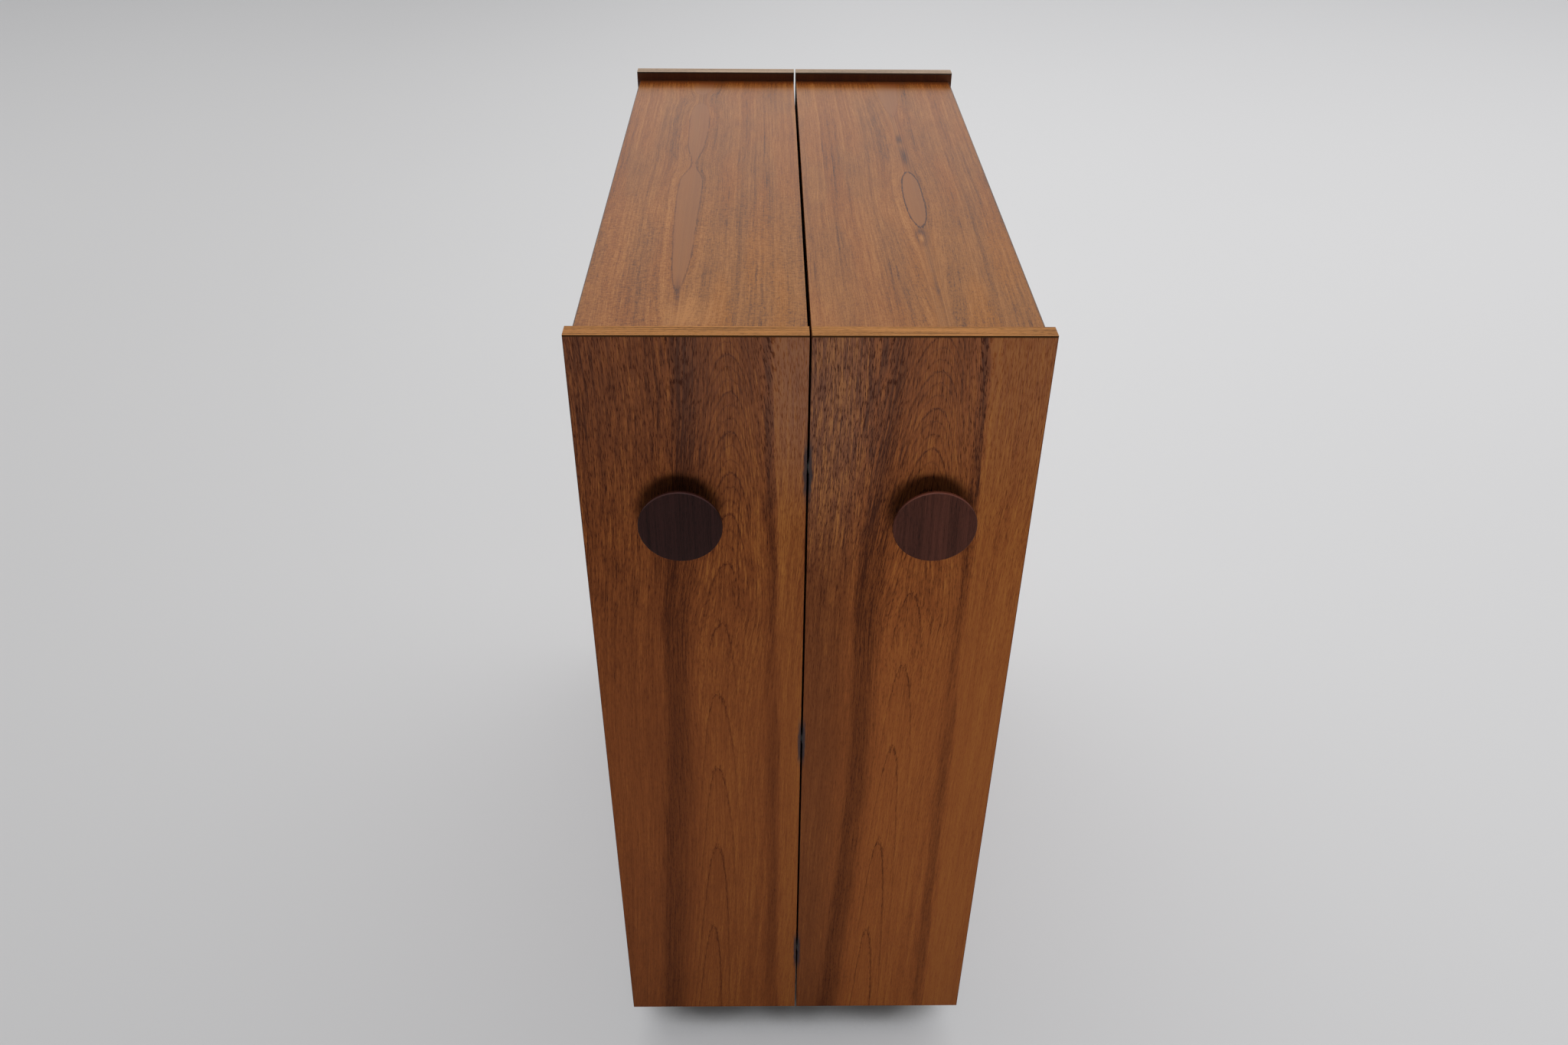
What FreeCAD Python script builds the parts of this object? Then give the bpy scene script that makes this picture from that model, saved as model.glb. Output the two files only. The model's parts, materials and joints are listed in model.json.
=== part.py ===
"""Folding drinks cabinet: two narrow half-cases on castors, hinged like a book.

Frame: +Z is up from the floor, the knobs face -Y, X runs across both halves, and the
origin lies on the floor under the middle of the whole outline. Lengths are in
millimetres. A half is described on the +X side, as the right one; the left half is its
mirror image in the plane x = 0, with other heights for its shelves and rails.
"""
import FreeCAD, Part
import math
import os
from FreeCAD import Vector

# Driving dimensions.
OVERALL_WIDTH = 380.0
PANEL_HEIGHT = 880.0        # front and back panels
CASE_DEPTH = 697.0          # front face to back face
FLOOR_GAP = 44.0            # floor to the panels' lower edges
BOARD = 15.0                # every case board
SHELF_THICKNESS = 12.0
PANEL_GAP = 2.0             # between the two closed halves
TOP_RECESS = 10.0           # the tray surface lies below the panels' top edges
BOTTOM_RECESS = 15.0        # the bottom board lies above the panels' lower edges
SIDE_OVERHANG = 3.0         # the front and back panels stand past the side board
INNER_SETBACK = 0.5         # top, bottom and shelves stop behind the panels' meeting edges
LIPPING_HEIGHT = 3.0        # solid strip on the panels' top edges

# Fits.
GLUED_CLEARANCE = 0.05      # radial, rails, screws and magnets in their holes
RUNNING_CLEARANCE = 0.08    # radial, pins and axles that something turns on
BODY_GAP = 0.3              # between faces of pieces that move against each other
HOLE_RELIEF = 1.0           # a blind hole or groove is this much deeper than what sits in it

# Interior. The left half has a low upper tier; the right half's three tiers are alike.
LEFT_UPPER_TIER = 112.0
# Rail axis above the floor of each tier, from the lowest up: for bottles and tools, and for glasses.
RAIL_HEIGHTS = {"left": (110.0, 110.0, 36.0), "right": (46.0, 46.0, 46.0)}
RAIL_RADIUS = 6.0
RAIL_INSET = 11.0           # rail axis behind the boards' inner edges
RAIL_SOCKET_DEPTH = 8.0
HOUSING_DEPTH = 4.0         # how far a shelf is let into the boards round it

# Splines: loose tongues in grooves, where two boards meet.
SPLINE_THICKNESS = 4.0
SPLINE_REACH = 7.0          # into each of the two boards
SPLINE_STOP = 28.0          # the groove ends this far before the board does

# Knobs.
KNOB_RADIUS = 35.0
KNOB_PROJECTION = 26.0
KNOB_RIM = 2.6
KNOB_RIM_BEVEL = 0.9
KNOB_FOOT_RADIUS = 13.0
KNOB_FOOT_HEIGHT = 3.0
KNOB_INSET = 85.0           # knob axis from the panel's outer edge
KNOB_DROP = 163.0           # knob axis below the panel's top edge
KNOB_SCREW_RADIUS = 2.0
KNOB_SCREW_LENGTH = 30.0
KNOB_SCREW_HEAD_RADIUS = 4.5
KNOB_SCREW_HEAD = 2.4

# Butt hinges on the back panels' meeting edges: one in the middle and one near each end.
HINGE_INSET = 110.0         # middle of an end hinge from the panels' ends
HINGE_LENGTH = 76.0
KNUCKLE_COUNT = 3
KNUCKLE_RADIUS = 2.6
KNUCKLE_PLAY = 0.15         # each knuckle is this much shorter at both ends than its pitch
HINGE_PIN_RADIUS = 1.5
LEAF_THICKNESS = 0.8
LEAF_WIDTH = 13.0           # of the part on the panel's edge
HINGE_SETOFF = 3.0          # hinge axis behind the back panels

# Magnetic catches in the front panels' meeting edges: one in the middle and two more.
LOW_CATCH_HEIGHT = 108.0    # above the panels' lower edges
HIGH_CATCH_DROP = 124.0     # below the panels' top edges
MAGNET_RADIUS = 4.0
MAGNET_LENGTH = 18.0
STRIKE_RADIUS = 6.5

# Castors.
WHEEL_RADIUS = 20.0
WHEEL_HALF_WIDTH = 7.7
TREAD_CHAMFER = 1.5
AXLE_RADIUS = 2.5
AXLE_END = 0.8              # how far the axle stands out of each cheek
CASTOR_TRAIL = 16.0
CASTOR_PLATE = 38.0
CASTOR_PLATE_THICKNESS = 2.0
CASTOR_PLATE_CORNER = 5.0
KINGPIN_RADIUS = 4.0
KINGPIN_HEAD_RADIUS = 6.0
KINGPIN_HEAD = 1.5
FORK_SHEET = 2.0
FORK_RACE_RADIUS = 13.0     # round housing of the ball race, on the crown
FORK_RACE_HEIGHT = 3.0
FORK_NECK = 9.0             # half the cheek's breadth at the crown
FORK_END_RADIUS = 6.5
CASTOR_INSET_ACROSS = 41.0  # kingpin from the half's inner or outer face
CASTOR_INSET_ALONG = 62.0   # kingpin from the inner face of the front or back panel

# Places worked out from the above.
PANEL_INNER = PANEL_GAP / 2
PANEL_OUTER = OVERALL_WIDTH / 2
BOARD_INNER = PANEL_INNER + INNER_SETBACK
BOARD_OUTER = PANEL_OUTER - SIDE_OVERHANG
SIDE_INNER = BOARD_OUTER - BOARD
PANEL_BOTTOM = FLOOR_GAP
PANEL_TOP = PANEL_BOTTOM + PANEL_HEIGHT
TRAY_TOP = PANEL_TOP - TOP_RECESS
TRAY_UNDERSIDE = TRAY_TOP - BOARD
BASE_UNDERSIDE = PANEL_BOTTOM + BOTTOM_RECESS
BASE_TOP = BASE_UNDERSIDE + BOARD
CLEAR_HEIGHT = TRAY_UNDERSIDE - BASE_TOP - 2 * SHELF_THICKNESS   # of the three tiers together
OVERALL_DEPTH = KNOB_PROJECTION + CASE_DEPTH + HINGE_SETOFF + KNUCKLE_RADIUS
FRONT_FACE = KNOB_PROJECTION - OVERALL_DEPTH / 2
FRONT_INNER = FRONT_FACE + BOARD
BACK_FACE = FRONT_FACE + CASE_DEPTH
BACK_INNER = BACK_FACE - BOARD
HINGE_AXIS_Y = BACK_FACE + HINGE_SETOFF
LEAF_INNER = PANEL_INNER - LEAF_THICKNESS
LEAF_END = HINGE_AXIS_Y - KNUCKLE_RADIUS - BODY_GAP
KNOB_X = PANEL_OUTER - KNOB_INSET
KNOB_Z = PANEL_TOP - KNOB_DROP
CATCH_Y = FRONT_FACE + BOARD / 2
CATCH_FACE = BODY_GAP / 2
CASTOR_TOP = BASE_UNDERSIDE
PLATE_UNDERSIDE = CASTOR_TOP - CASTOR_PLATE_THICKNESS
RACE_TOP = PLATE_UNDERSIDE - BODY_GAP
CROWN_TOP = RACE_TOP - FORK_RACE_HEIGHT
CROWN_UNDERSIDE = CROWN_TOP - FORK_SHEET
FORK_INNER = WHEEL_HALF_WIDTH + BODY_GAP
FORK_OUTER = FORK_INNER + FORK_SHEET
RAIL_X = BOARD_INNER + RAIL_INSET
AXLE_CENTRE = Vector(0, CASTOR_TRAIL, WHEEL_RADIUS)
CASTOR_PLACES = {
    "outer": (PANEL_OUTER - CASTOR_INSET_ACROSS, FRONT_INNER + CASTOR_INSET_ALONG),
    "inner": (CASTOR_INSET_ACROSS, FRONT_INNER + CASTOR_INSET_ALONG),
    "rear": ((BOARD_INNER + BOARD_OUTER) / 2, BACK_INNER - CASTOR_INSET_ALONG),
}
SIGN = {"left": -1, "right": 1}
TIERS = ("lower", "middle", "upper")
ACROSS = Vector(1, 0, 0)
ALONG = Vector(0, 1, 0)
UP = Vector(0, 0, 1)


def box(x_range, y_range, z_range):
    """A box between three pairs of limits."""
    low = Vector(x_range[0], y_range[0], z_range[0])
    high = Vector(x_range[1], y_range[1], z_range[1])
    size = high - low
    return Part.makeBox(size.x, size.y, size.z, low)


def cylinder(radius, start, end):
    """A round bar between two points."""
    along = end - start
    return Part.makeCylinder(radius, along.Length, start, along)


def polygon(points):
    """A closed wire through the points."""
    return Part.makePolygon(list(points) + [points[0]])


def revolved(profile, axis):
    """A closed wire turned once about an axis through the origin."""
    return Part.Face(profile).revolve(Vector(0, 0, 0), axis, 360)


def mirrored(shape, half):
    """A right-hand shape, or its mirror image for the left half."""
    if half == "right":
        return shape
    return shape.mirror(Vector(0, 0, 0), ACROSS)


def cut_by(board, tools):
    """The board less those tools that reach it."""
    near = [tool for tool in tools if tool.BoundBox.intersect(board.BoundBox)]
    return board.cut(near) if near else board


# Case boards.

def panel(y_range):
    """A front or back board, below its lipping."""
    return box((PANEL_INNER, PANEL_OUTER), y_range, (PANEL_BOTTOM, PANEL_TOP - LIPPING_HEIGHT))


def lipping(y_range):
    """A solid strip on a panel's top edge."""
    return box((PANEL_INNER, PANEL_OUTER), y_range, (PANEL_TOP - LIPPING_HEIGHT, PANEL_TOP))


def tray():
    """The recessed top, over the side board."""
    return box((BOARD_INNER, BOARD_OUTER), (FRONT_INNER, BACK_INNER), (TRAY_UNDERSIDE, TRAY_TOP))


def base():
    """The bottom board, under the side board."""
    return box((BOARD_INNER, BOARD_OUTER), (FRONT_INNER, BACK_INNER), (BASE_UNDERSIDE, BASE_TOP))


def side():
    """The side board, between bottom and top."""
    return box((SIDE_INNER, BOARD_OUTER), (FRONT_INNER, BACK_INNER), (BASE_TOP, TRAY_UNDERSIDE))


def splines(relief=0.0):
    """The tongues of one half; with relief, the grooves that they sit in."""
    half_thickness = SPLINE_THICKNESS / 2
    reach = SPLINE_REACH + relief
    stop = SPLINE_STOP - relief
    side_middle = (SIDE_INNER + BOARD_OUTER) / 2
    side_span = (side_middle - half_thickness, side_middle + half_thickness)
    upright = (BASE_TOP + stop, TRAY_UNDERSIDE - stop)
    lengthwise = (FRONT_INNER + stop, BACK_INNER - stop)
    crosswise = (BOARD_INNER + stop, BOARD_OUTER - stop)
    tongues = []
    for joint in (FRONT_INNER, BACK_INNER):
        ends = (joint - reach, joint + reach)
        tongues.append(box(side_span, ends, upright))
        for board_underside in (TRAY_UNDERSIDE, BASE_UNDERSIDE):
            middle = board_underside + BOARD / 2
            tongues.append(box(crosswise, ends, (middle - half_thickness, middle + half_thickness)))
    for joint in (TRAY_UNDERSIDE, BASE_TOP):
        tongues.append(box(side_span, lengthwise, (joint - reach, joint + reach)))
    return tongues


# Interior.

def shelf_undersides(half):
    """Height of the lower face of the lower and the upper shelf; the tiers under them are alike."""
    upper_tier = LEFT_UPPER_TIER if half == "left" else CLEAR_HEIGHT / len(TIERS)
    other_tier = (CLEAR_HEIGHT - upper_tier) / 2
    lower = BASE_TOP + other_tier
    return lower, lower + SHELF_THICKNESS + other_tier


def shelf(underside):
    """A shelf let into the front and back panels and the side board."""
    across = (BOARD_INNER, SIDE_INNER + HOUSING_DEPTH)
    along = (FRONT_INNER - HOUSING_DEPTH, BACK_INNER + HOUSING_DEPTH)
    return box(across, along, (underside, underside + SHELF_THICKNESS))


def rail_levels(half):
    """Height of each rail's axis, over the surface that things stand on in its tier."""
    floors = (BASE_TOP,) + tuple(z + SHELF_THICKNESS for z in shelf_undersides(half))
    return [floor + height for floor, height in zip(floors, RAIL_HEIGHTS[half])]


def rail(z, clearance=0.0, relief=0.0):
    """A round rail let into the front and back panels; grown, its two sockets."""
    reach = RAIL_SOCKET_DEPTH + relief
    start = Vector(RAIL_X, FRONT_INNER - reach, z)
    end = Vector(RAIL_X, BACK_INNER + reach, z)
    return cylinder(RAIL_RADIUS + clearance, start, end)


# Knobs.

def knob():
    """A flat disc that tapers back to a narrow foot on the panel."""
    outline = [
        Vector(0, 0, 0),
        Vector(KNOB_RADIUS - KNOB_RIM_BEVEL, 0, 0),
        Vector(KNOB_RADIUS, KNOB_RIM_BEVEL, 0),
        Vector(KNOB_RADIUS, KNOB_RIM, 0),
        Vector(KNOB_FOOT_RADIUS, KNOB_PROJECTION - KNOB_FOOT_HEIGHT, 0),
        Vector(KNOB_FOOT_RADIUS, KNOB_PROJECTION, 0),
        Vector(0, KNOB_PROJECTION, 0),
    ]
    disc = revolved(polygon(outline), ALONG)
    disc.translate(Vector(KNOB_X, FRONT_FACE - KNOB_PROJECTION, KNOB_Z))
    return disc


def knob_screw_shank(clearance=0.0, relief=0.0):
    """The shank of the screw that holds the knob, driven from inside the case."""
    seat = Vector(KNOB_X, FRONT_INNER, KNOB_Z)
    return cylinder(KNOB_SCREW_RADIUS + clearance, seat - ALONG * (KNOB_SCREW_LENGTH + relief), seat)


def knob_screw():
    """The knob's screw with its round head."""
    seat = Vector(KNOB_X, FRONT_INNER, KNOB_Z)
    head = cylinder(KNOB_SCREW_HEAD_RADIUS, seat, seat + ALONG * KNOB_SCREW_HEAD)
    return knob_screw_shank().fuse(head)


# Hinges.

def hinge_spans():
    """Lower and upper end of each hinge."""
    middles = (PANEL_BOTTOM + HINGE_INSET, PANEL_BOTTOM + PANEL_HEIGHT / 2, PANEL_TOP - HINGE_INSET)
    return [(middle - HINGE_LENGTH / 2, middle + HINGE_LENGTH / 2) for middle in middles]


def hinge_pin(span, clearance=0.0):
    """The pin of one hinge."""
    low, high = [Vector(0, HINGE_AXIS_Y, z) for z in span]
    return cylinder(HINGE_PIN_RADIUS + clearance, low, high)


def hinge_leaf(span, first_knuckle):
    """A leaf on the panel's edge, with every second knuckle round the pin."""
    low, high = span
    across = (LEAF_INNER, PANEL_INNER)
    leaf = box(across, (BACK_FACE - LEAF_WIDTH, LEAF_END), span)
    pitch = (high - low) / KNUCKLE_COUNT
    for index in range(first_knuckle, KNUCKLE_COUNT, 2):
        bottom = low + index * pitch + KNUCKLE_PLAY
        top = low + (index + 1) * pitch - KNUCKLE_PLAY
        barrel = cylinder(KNUCKLE_RADIUS, Vector(0, HINGE_AXIS_Y, bottom), Vector(0, HINGE_AXIS_Y, top))
        neck = box(across, (LEAF_END, HINGE_AXIS_Y), (bottom, top))
        leaf = leaf.fuse([barrel, neck])
    return leaf.cut(hinge_pin(span, RUNNING_CLEARANCE))


def hinge_leaves(first_knuckle):
    """The leaves of one half."""
    return Part.makeCompound([hinge_leaf(span, first_knuckle) for span in hinge_spans()])


# Catches.

def catch_centres():
    """Middle of each catch, in the plane where the halves meet."""
    heights = (LOW_CATCH_HEIGHT, PANEL_HEIGHT / 2, PANEL_HEIGHT - HIGH_CATCH_DROP)
    return [Vector(0, CATCH_Y, PANEL_BOTTOM + height) for height in heights]


def catch_magnets(clearance=0.0, relief=0.0):
    """Round magnets in the meeting edge; grown, their bores."""
    magnets = []
    for centre in catch_centres():
        face = centre + ACROSS * CATCH_FACE
        magnets.append(cylinder(MAGNET_RADIUS + clearance, face, face + ACROSS * (MAGNET_LENGTH + relief)))
    return magnets


def catch_strikes():
    """Steel discs on the meeting edge, opposite the magnets."""
    strikes = []
    for centre in catch_centres():
        strikes.append(cylinder(STRIKE_RADIUS, centre + ACROSS * CATCH_FACE, centre + ACROSS * PANEL_INNER))
    return strikes


# Castors, on a swivel axis at x = y = 0.

def castor_plate():
    """Plate with clipped corners and a kingpin, peened over under the fork."""
    reach = CASTOR_PLATE / 2
    plate = box((-reach, reach), (-reach, reach), (PLATE_UNDERSIDE, CASTOR_TOP))
    corners = [edge for edge in plate.Edges if abs(edge.tangentAt(0).z) > 0.5]
    plate = plate.makeChamfer(CASTOR_PLATE_CORNER, corners)
    head_top = CROWN_UNDERSIDE - BODY_GAP
    pin = cylinder(KINGPIN_RADIUS, UP * head_top, UP * PLATE_UNDERSIDE)
    head = cylinder(KINGPIN_HEAD_RADIUS, UP * (head_top - KINGPIN_HEAD), UP * head_top)
    return plate.fuse([pin, head])


def tangent_point(point, centre, radius, way):
    """Where a line from point touches a circle in a plane across X; way is 1 or -1."""
    outwards = point - centre
    swing = way * math.degrees(math.acos(radius / outwards.Length))
    return centre + FreeCAD.Rotation(ACROSS, swing).multVec(outwards).normalize() * radius


def fork_cheek_outline():
    """A cheek seen from the side: broad at the crown, round at the axle."""
    front_top = Vector(0, -FORK_NECK, CROWN_TOP)
    front_low = Vector(0, -FORK_NECK, CROWN_UNDERSIDE)
    rear_top = Vector(0, FORK_NECK, CROWN_TOP)
    front_touch = tangent_point(front_low, AXLE_CENTRE, FORK_END_RADIUS, 1)
    rear_touch = tangent_point(rear_top, AXLE_CENTRE, FORK_END_RADIUS, -1)
    leg = AXLE_CENTRE - UP * CROWN_TOP
    toe = AXLE_CENTRE + leg.normalize() * FORK_END_RADIUS
    edges = [
        Part.makeLine(rear_touch, rear_top),
        Part.makeLine(rear_top, front_top),
        Part.makeLine(front_top, front_low),
        Part.makeLine(front_low, front_touch),
        Part.Arc(front_touch, toe, rear_touch).toShape(),
    ]
    return Part.Wire(edges)


def castor_fork():
    """Pressed fork: the ball race's round housing on top and two cheeks down to the axle."""
    cheeks = Part.Face(fork_cheek_outline()).extrude(ACROSS * (2 * FORK_OUTER))
    cheeks.translate(-ACROSS * FORK_OUTER)
    reach = 2 * WHEEL_RADIUS
    wheel_space = box((-FORK_INNER, FORK_INNER), (-reach, reach), (0, CROWN_UNDERSIDE))
    race = cylinder(FORK_RACE_RADIUS, UP * CROWN_UNDERSIDE, UP * RACE_TOP)
    pin_hole = cylinder(KINGPIN_RADIUS + RUNNING_CLEARANCE, UP * CROWN_UNDERSIDE, UP * RACE_TOP)
    return cheeks.cut(wheel_space).fuse(race).cut([pin_hole, castor_axle(GLUED_CLEARANCE)])


def castor_axle(clearance=0.0):
    """A plain pin through both cheeks; grown, its holes."""
    end = ACROSS * (FORK_OUTER + AXLE_END)
    return cylinder(AXLE_RADIUS + clearance, AXLE_CENTRE - end, AXLE_CENTRE + end)


def castor_wheel():
    """A one-piece wheel with a chamfered tread."""
    flank = [
        (AXLE_RADIUS + RUNNING_CLEARANCE, WHEEL_HALF_WIDTH),
        (WHEEL_RADIUS - TREAD_CHAMFER, WHEEL_HALF_WIDTH),
        (WHEEL_RADIUS, WHEEL_HALF_WIDTH - TREAD_CHAMFER),
    ]
    outline = [Vector(across, 0, radius) for radius, across in flank]
    outline += [Vector(-across, 0, radius) for radius, across in reversed(flank)]
    wheel = revolved(polygon(outline), ACROSS)
    wheel.translate(AXLE_CENTRE)
    return wheel


def at(shape, place, half):
    """A castor piece moved to its place under a half."""
    moved = shape.copy()
    moved.translate(Vector(SIGN[half] * place[0], place[1], 0))
    return moved


# Nodes.

def case_pieces(half):
    """The boards and fittings of one half, by name."""
    levels = rail_levels(half)
    shelves = dict(zip(("lower_shelf", "upper_shelf"), map(shelf, shelf_undersides(half))))
    cuts = splines(HOLE_RELIEF) + list(shelves.values())
    cuts += [rail(z, GLUED_CLEARANCE, HOLE_RELIEF) for z in levels]
    cuts.append(knob_screw_shank(GLUED_CLEARANCE, HOLE_RELIEF))
    if half == "left":
        cuts += catch_magnets(GLUED_CLEARANCE, HOLE_RELIEF)
    pieces = {
        "front_panel": cut_by(panel((FRONT_FACE, FRONT_INNER)), cuts),
        "back_panel": cut_by(panel((BACK_INNER, BACK_FACE)), cuts),
        "top": cut_by(tray(), cuts),
        "bottom": cut_by(base(), cuts),
        "side": cut_by(side(), cuts),
        "front_lipping": lipping((FRONT_FACE, FRONT_INNER)),
        "back_lipping": lipping((BACK_INNER, BACK_FACE)),
        "splines": Part.makeCompound(splines()),
        "knob": cut_by(knob(), cuts),
        "knob_screw": knob_screw(),
        "hinge_leaves": hinge_leaves(0 if half == "left" else 1),
    }
    pieces.update(shelves)
    for tier, z in zip(TIERS, levels):
        pieces[f"{tier}_rail"] = rail(z)
    return {f"{half}_{name}": mirrored(shape, half) for name, shape in pieces.items()}


def castor_pieces(half):
    """The castors of one half, by name; the plates share one node."""
    moving = {"fork": castor_fork(), "axle": castor_axle(), "wheel": castor_wheel()}
    pieces = {}
    for spot, place in CASTOR_PLACES.items():
        for name, shape in moving.items():
            pieces[f"{half}_{spot}_castor_{name}"] = at(shape, place, half)
    plates = [at(castor_plate(), place, half) for place in CASTOR_PLACES.values()]
    pieces[f"{half}_castor_plates"] = Part.makeCompound(plates)
    return pieces


def shared_pieces():
    """The hinge pins and the catches, between the halves."""
    return {
        "hinge_pins": Part.makeCompound([hinge_pin(span) for span in hinge_spans()]),
        "catch_magnets": mirrored(Part.makeCompound(catch_magnets()), "left"),
        "catch_strikes": Part.makeCompound(catch_strikes()),
    }


def main():
    """Write one STEP file for each node."""
    os.makedirs("parts", exist_ok=True)
    pieces = shared_pieces()
    for half in SIGN:
        pieces.update(case_pieces(half))
        pieces.update(castor_pieces(half))
    for name, shape in pieces.items():
        shape.exportStep(f"parts/{name}.step")
    print(len(pieces), "nodes written")


if __name__ == "__main__":
    main()
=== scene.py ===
"""Folding drinks cabinet: finishes, turned knobs, castor wheels, small fasteners and a studio.

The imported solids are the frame, and everything here is placed from their boxes. Blender works
in metres. Patterns and small sizes are given in millimetres and go through MM. The right half
stands at +X and the knobs face -Y.
"""
import json
import math

import bmesh
import bpy
from bpy.props import FloatProperty, FloatVectorProperty, IntProperty, PointerProperty
from mathutils import Matrix, Vector


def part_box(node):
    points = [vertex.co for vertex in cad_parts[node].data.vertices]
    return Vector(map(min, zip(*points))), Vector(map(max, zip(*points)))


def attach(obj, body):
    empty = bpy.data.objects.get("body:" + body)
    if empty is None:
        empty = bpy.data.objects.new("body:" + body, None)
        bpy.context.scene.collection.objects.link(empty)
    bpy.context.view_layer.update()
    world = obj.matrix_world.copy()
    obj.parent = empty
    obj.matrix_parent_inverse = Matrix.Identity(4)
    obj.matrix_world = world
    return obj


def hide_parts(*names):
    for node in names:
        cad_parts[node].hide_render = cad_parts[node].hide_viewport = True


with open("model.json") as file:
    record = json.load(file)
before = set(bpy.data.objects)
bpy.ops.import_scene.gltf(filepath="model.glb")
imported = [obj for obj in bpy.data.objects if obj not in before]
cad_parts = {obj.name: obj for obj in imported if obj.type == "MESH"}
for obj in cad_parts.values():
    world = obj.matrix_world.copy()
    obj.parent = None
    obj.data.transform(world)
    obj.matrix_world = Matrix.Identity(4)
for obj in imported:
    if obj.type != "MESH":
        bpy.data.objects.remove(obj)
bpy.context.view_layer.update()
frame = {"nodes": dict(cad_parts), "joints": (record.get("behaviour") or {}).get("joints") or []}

bl_info = {
    "name": "Folding drinks cabinet",
    "version": (1, 0, 0),
    "blender": (4, 5, 0),
    "location": "3D View > Sidebar > Cabinet",
    "description": "Finishes and small fittings of a folding drinks cabinet",
    "category": "Object",
}

MM = 0.001
HALVES = ("left", "right")
SPOTS = ("outer", "inner", "rear")
LEVEL_BOARDS = ("bottom", "lower_shelf", "upper_shelf", "lower_rail", "middle_rail", "upper_rail")
NODES = frame["nodes"]
JOINTS = {joint["name"]: joint for joint in frame["joints"]}

# Places of the small fasteners.
SCREW_SEAT = 0.05 * MM          # how deep a fastener's head sits in the face below it
THIN_HEAD = 0.12 * MM           # height of the heads between the closed halves
LEAF_FACE = 0.2 * MM            # hinge leaves stand this far from the meeting plane
HINGE_SCREW_INSET = 6.5 * MM    # hinge screws behind the leaves' front edge
HINGE_SCREW_SHARES = (0.15, 0.5, 0.85)      # hinge screws up a leaf, as shares of its height
PLATE_THICKNESS = 2 * MM        # castor plate
PLATE_SCREW_REACH = 14 * MM     # plate screws from the kingpin, along X and Y
PLATE_HEAD = 1.5 * MM           # height of the plate screws' heads
RIVET_HEIGHT = 1.2 * MM         # height of the peened heads
CHEEK_REACH = 10 * MM           # outside of a fork's cheeks from the castor's middle
HEAD_SIDES = 24                 # sides of a fastener's head

# Outlines of the turned pieces, in millimetres.
KNOB_RIM = 2.6                  # height of the short rim behind a knob's face
KNOB_FOOT_RADIUS = 13.0
KNOB_FOOT_HEIGHT = 3.0
KNOB_HOLLOW = 0.8               # power of the flank's curve: 1 is straight, less is hollow
FLANK_STEPS = 14
WHEEL_BORE = 2.58               # radius of the bore
WHEEL_HUB = 6.5                 # radius of the hub
WHEEL_RIM = 15.0                # radius of the web, inside the tyre
WHEEL_WEB = 3.2                 # half the thickness of the web
WHEEL_DRAFT = 0.5               # taper of the moulded walls
TREAD_ROUNDING = 1.5
RIB_INSET = 1.2                 # ribs below the faces of the hub
RIB_BREADTH = 1.4
RIB_LENGTH = 8.8
RIB_MIDDLE = 11.0               # middle of a rib from the axle
CREASE_ANGLE = 35               # degrees; corners sharper than this stay sharp

# The course of the front veneers down the panels. Each row has the drop below the top edge, the
# middle of the figure from the panel's left edge, the reach from there to the dark growth band
# on the left and on the right, and the count of growth rings at the middle. Millimetres.
FRONT_COURSE = {
    "left": (
        (0, 126, 36, 31, 13.5),
        (110, 128, 40, 31, 10.4),
        (220, 122, 48, 40, 8.0),
        (380, 109, 38, 53, 5.95),
        (600, 104, 45, 58, 3.95),
        (880, 86, 41, 76, 2.0),
    ),
    "right": (
        (0, 102, 42, 33, 13.0),
        (110, 101, 45, 37, 9.8),
        (220, 95, 42, 45, 7.5),
        (380, 89, 35, 51, 5.6),
        (600, 80, 33, 60, 3.9),
        (880, 71, 38, 71, 2.1),
    ),
}
BAND_RINGS = 10.0           # growth rings across from the middle of the figure to a dark band
USUAL_REACH = 50.0          # usual distance from the middle to a band, for the slope of the rings
FRONT_DRIFT = 6.0           # how far the figure wanders sideways
EDGE_TURN = 0.7             # how fast the grain runs on round the edge of a panel
LEAN_DROP = 280.0           # the fibres lean inwards with the arches from this drop up
LEAN_RATE = 0.09            # how much they lean, sideways for each millimetre of drop

# Drops between which an effect grows, on the way up to the top edge.
LEAN_FADE = (600.0, 230.0)
ARCHES_FADE = (300.0, 150.0)
LINES_FADE = (330.0, 150.0)     # broader ring lines
GRAIN_FADE = (460.0, 60.0)      # bolder grain
SHADE_FADE = (330.0, 60.0)      # darker tone
# painted glare on the upper front veneers
PAINTED_GLARE_FADE = (210.0, 0.0)

# Zones across the front figure, by side: 0 at its middle, -1 and 1 at its dark bands. A band is
# given by where it begins, is full, starts to fade and ends, and the others by start and end.
LEFT_BAND = (-1.35, -1.05, -0.95, -0.3)
RIGHT_BAND = (0.8, 0.97, 1.03, 1.15)
LEFT_ZONE = (-0.9, -1.3)
MARGIN = (1.05, 1.2)
BAND_FRAY = 0.22                # how far the bands' edges are frayed

# What each part of the front figure takes from the tone, which is 0 for dark and 1 for light.
FRONT_DARKENING = {"left_band": 0.3, "right_band": 0.18, "left_zone": 0.09, "margin": -0.06}
UPPER_DARKENING = {"right_band": 0.14, "margin": -0.14}     # more, growing to the top edge
UPPER_SHADE = 0.04          # the same, all over
FRONT_TONE = 0.54           # tone of plain front veneer
ARCH_STRENGTH = 0.27        # growth rings at the middle of the figure
CROWDED_STRENGTH = 0.17     # finer rings between them, near the top edge
RING_SHADOW = 0.07          # soft shade from each ring to the next
SHEEN_REACH = {             # painted sheen: how far down, and how far from the meeting edge
    "left": (190.0, 40.0),
    "right": (270.0, 72.0),
}

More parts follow.
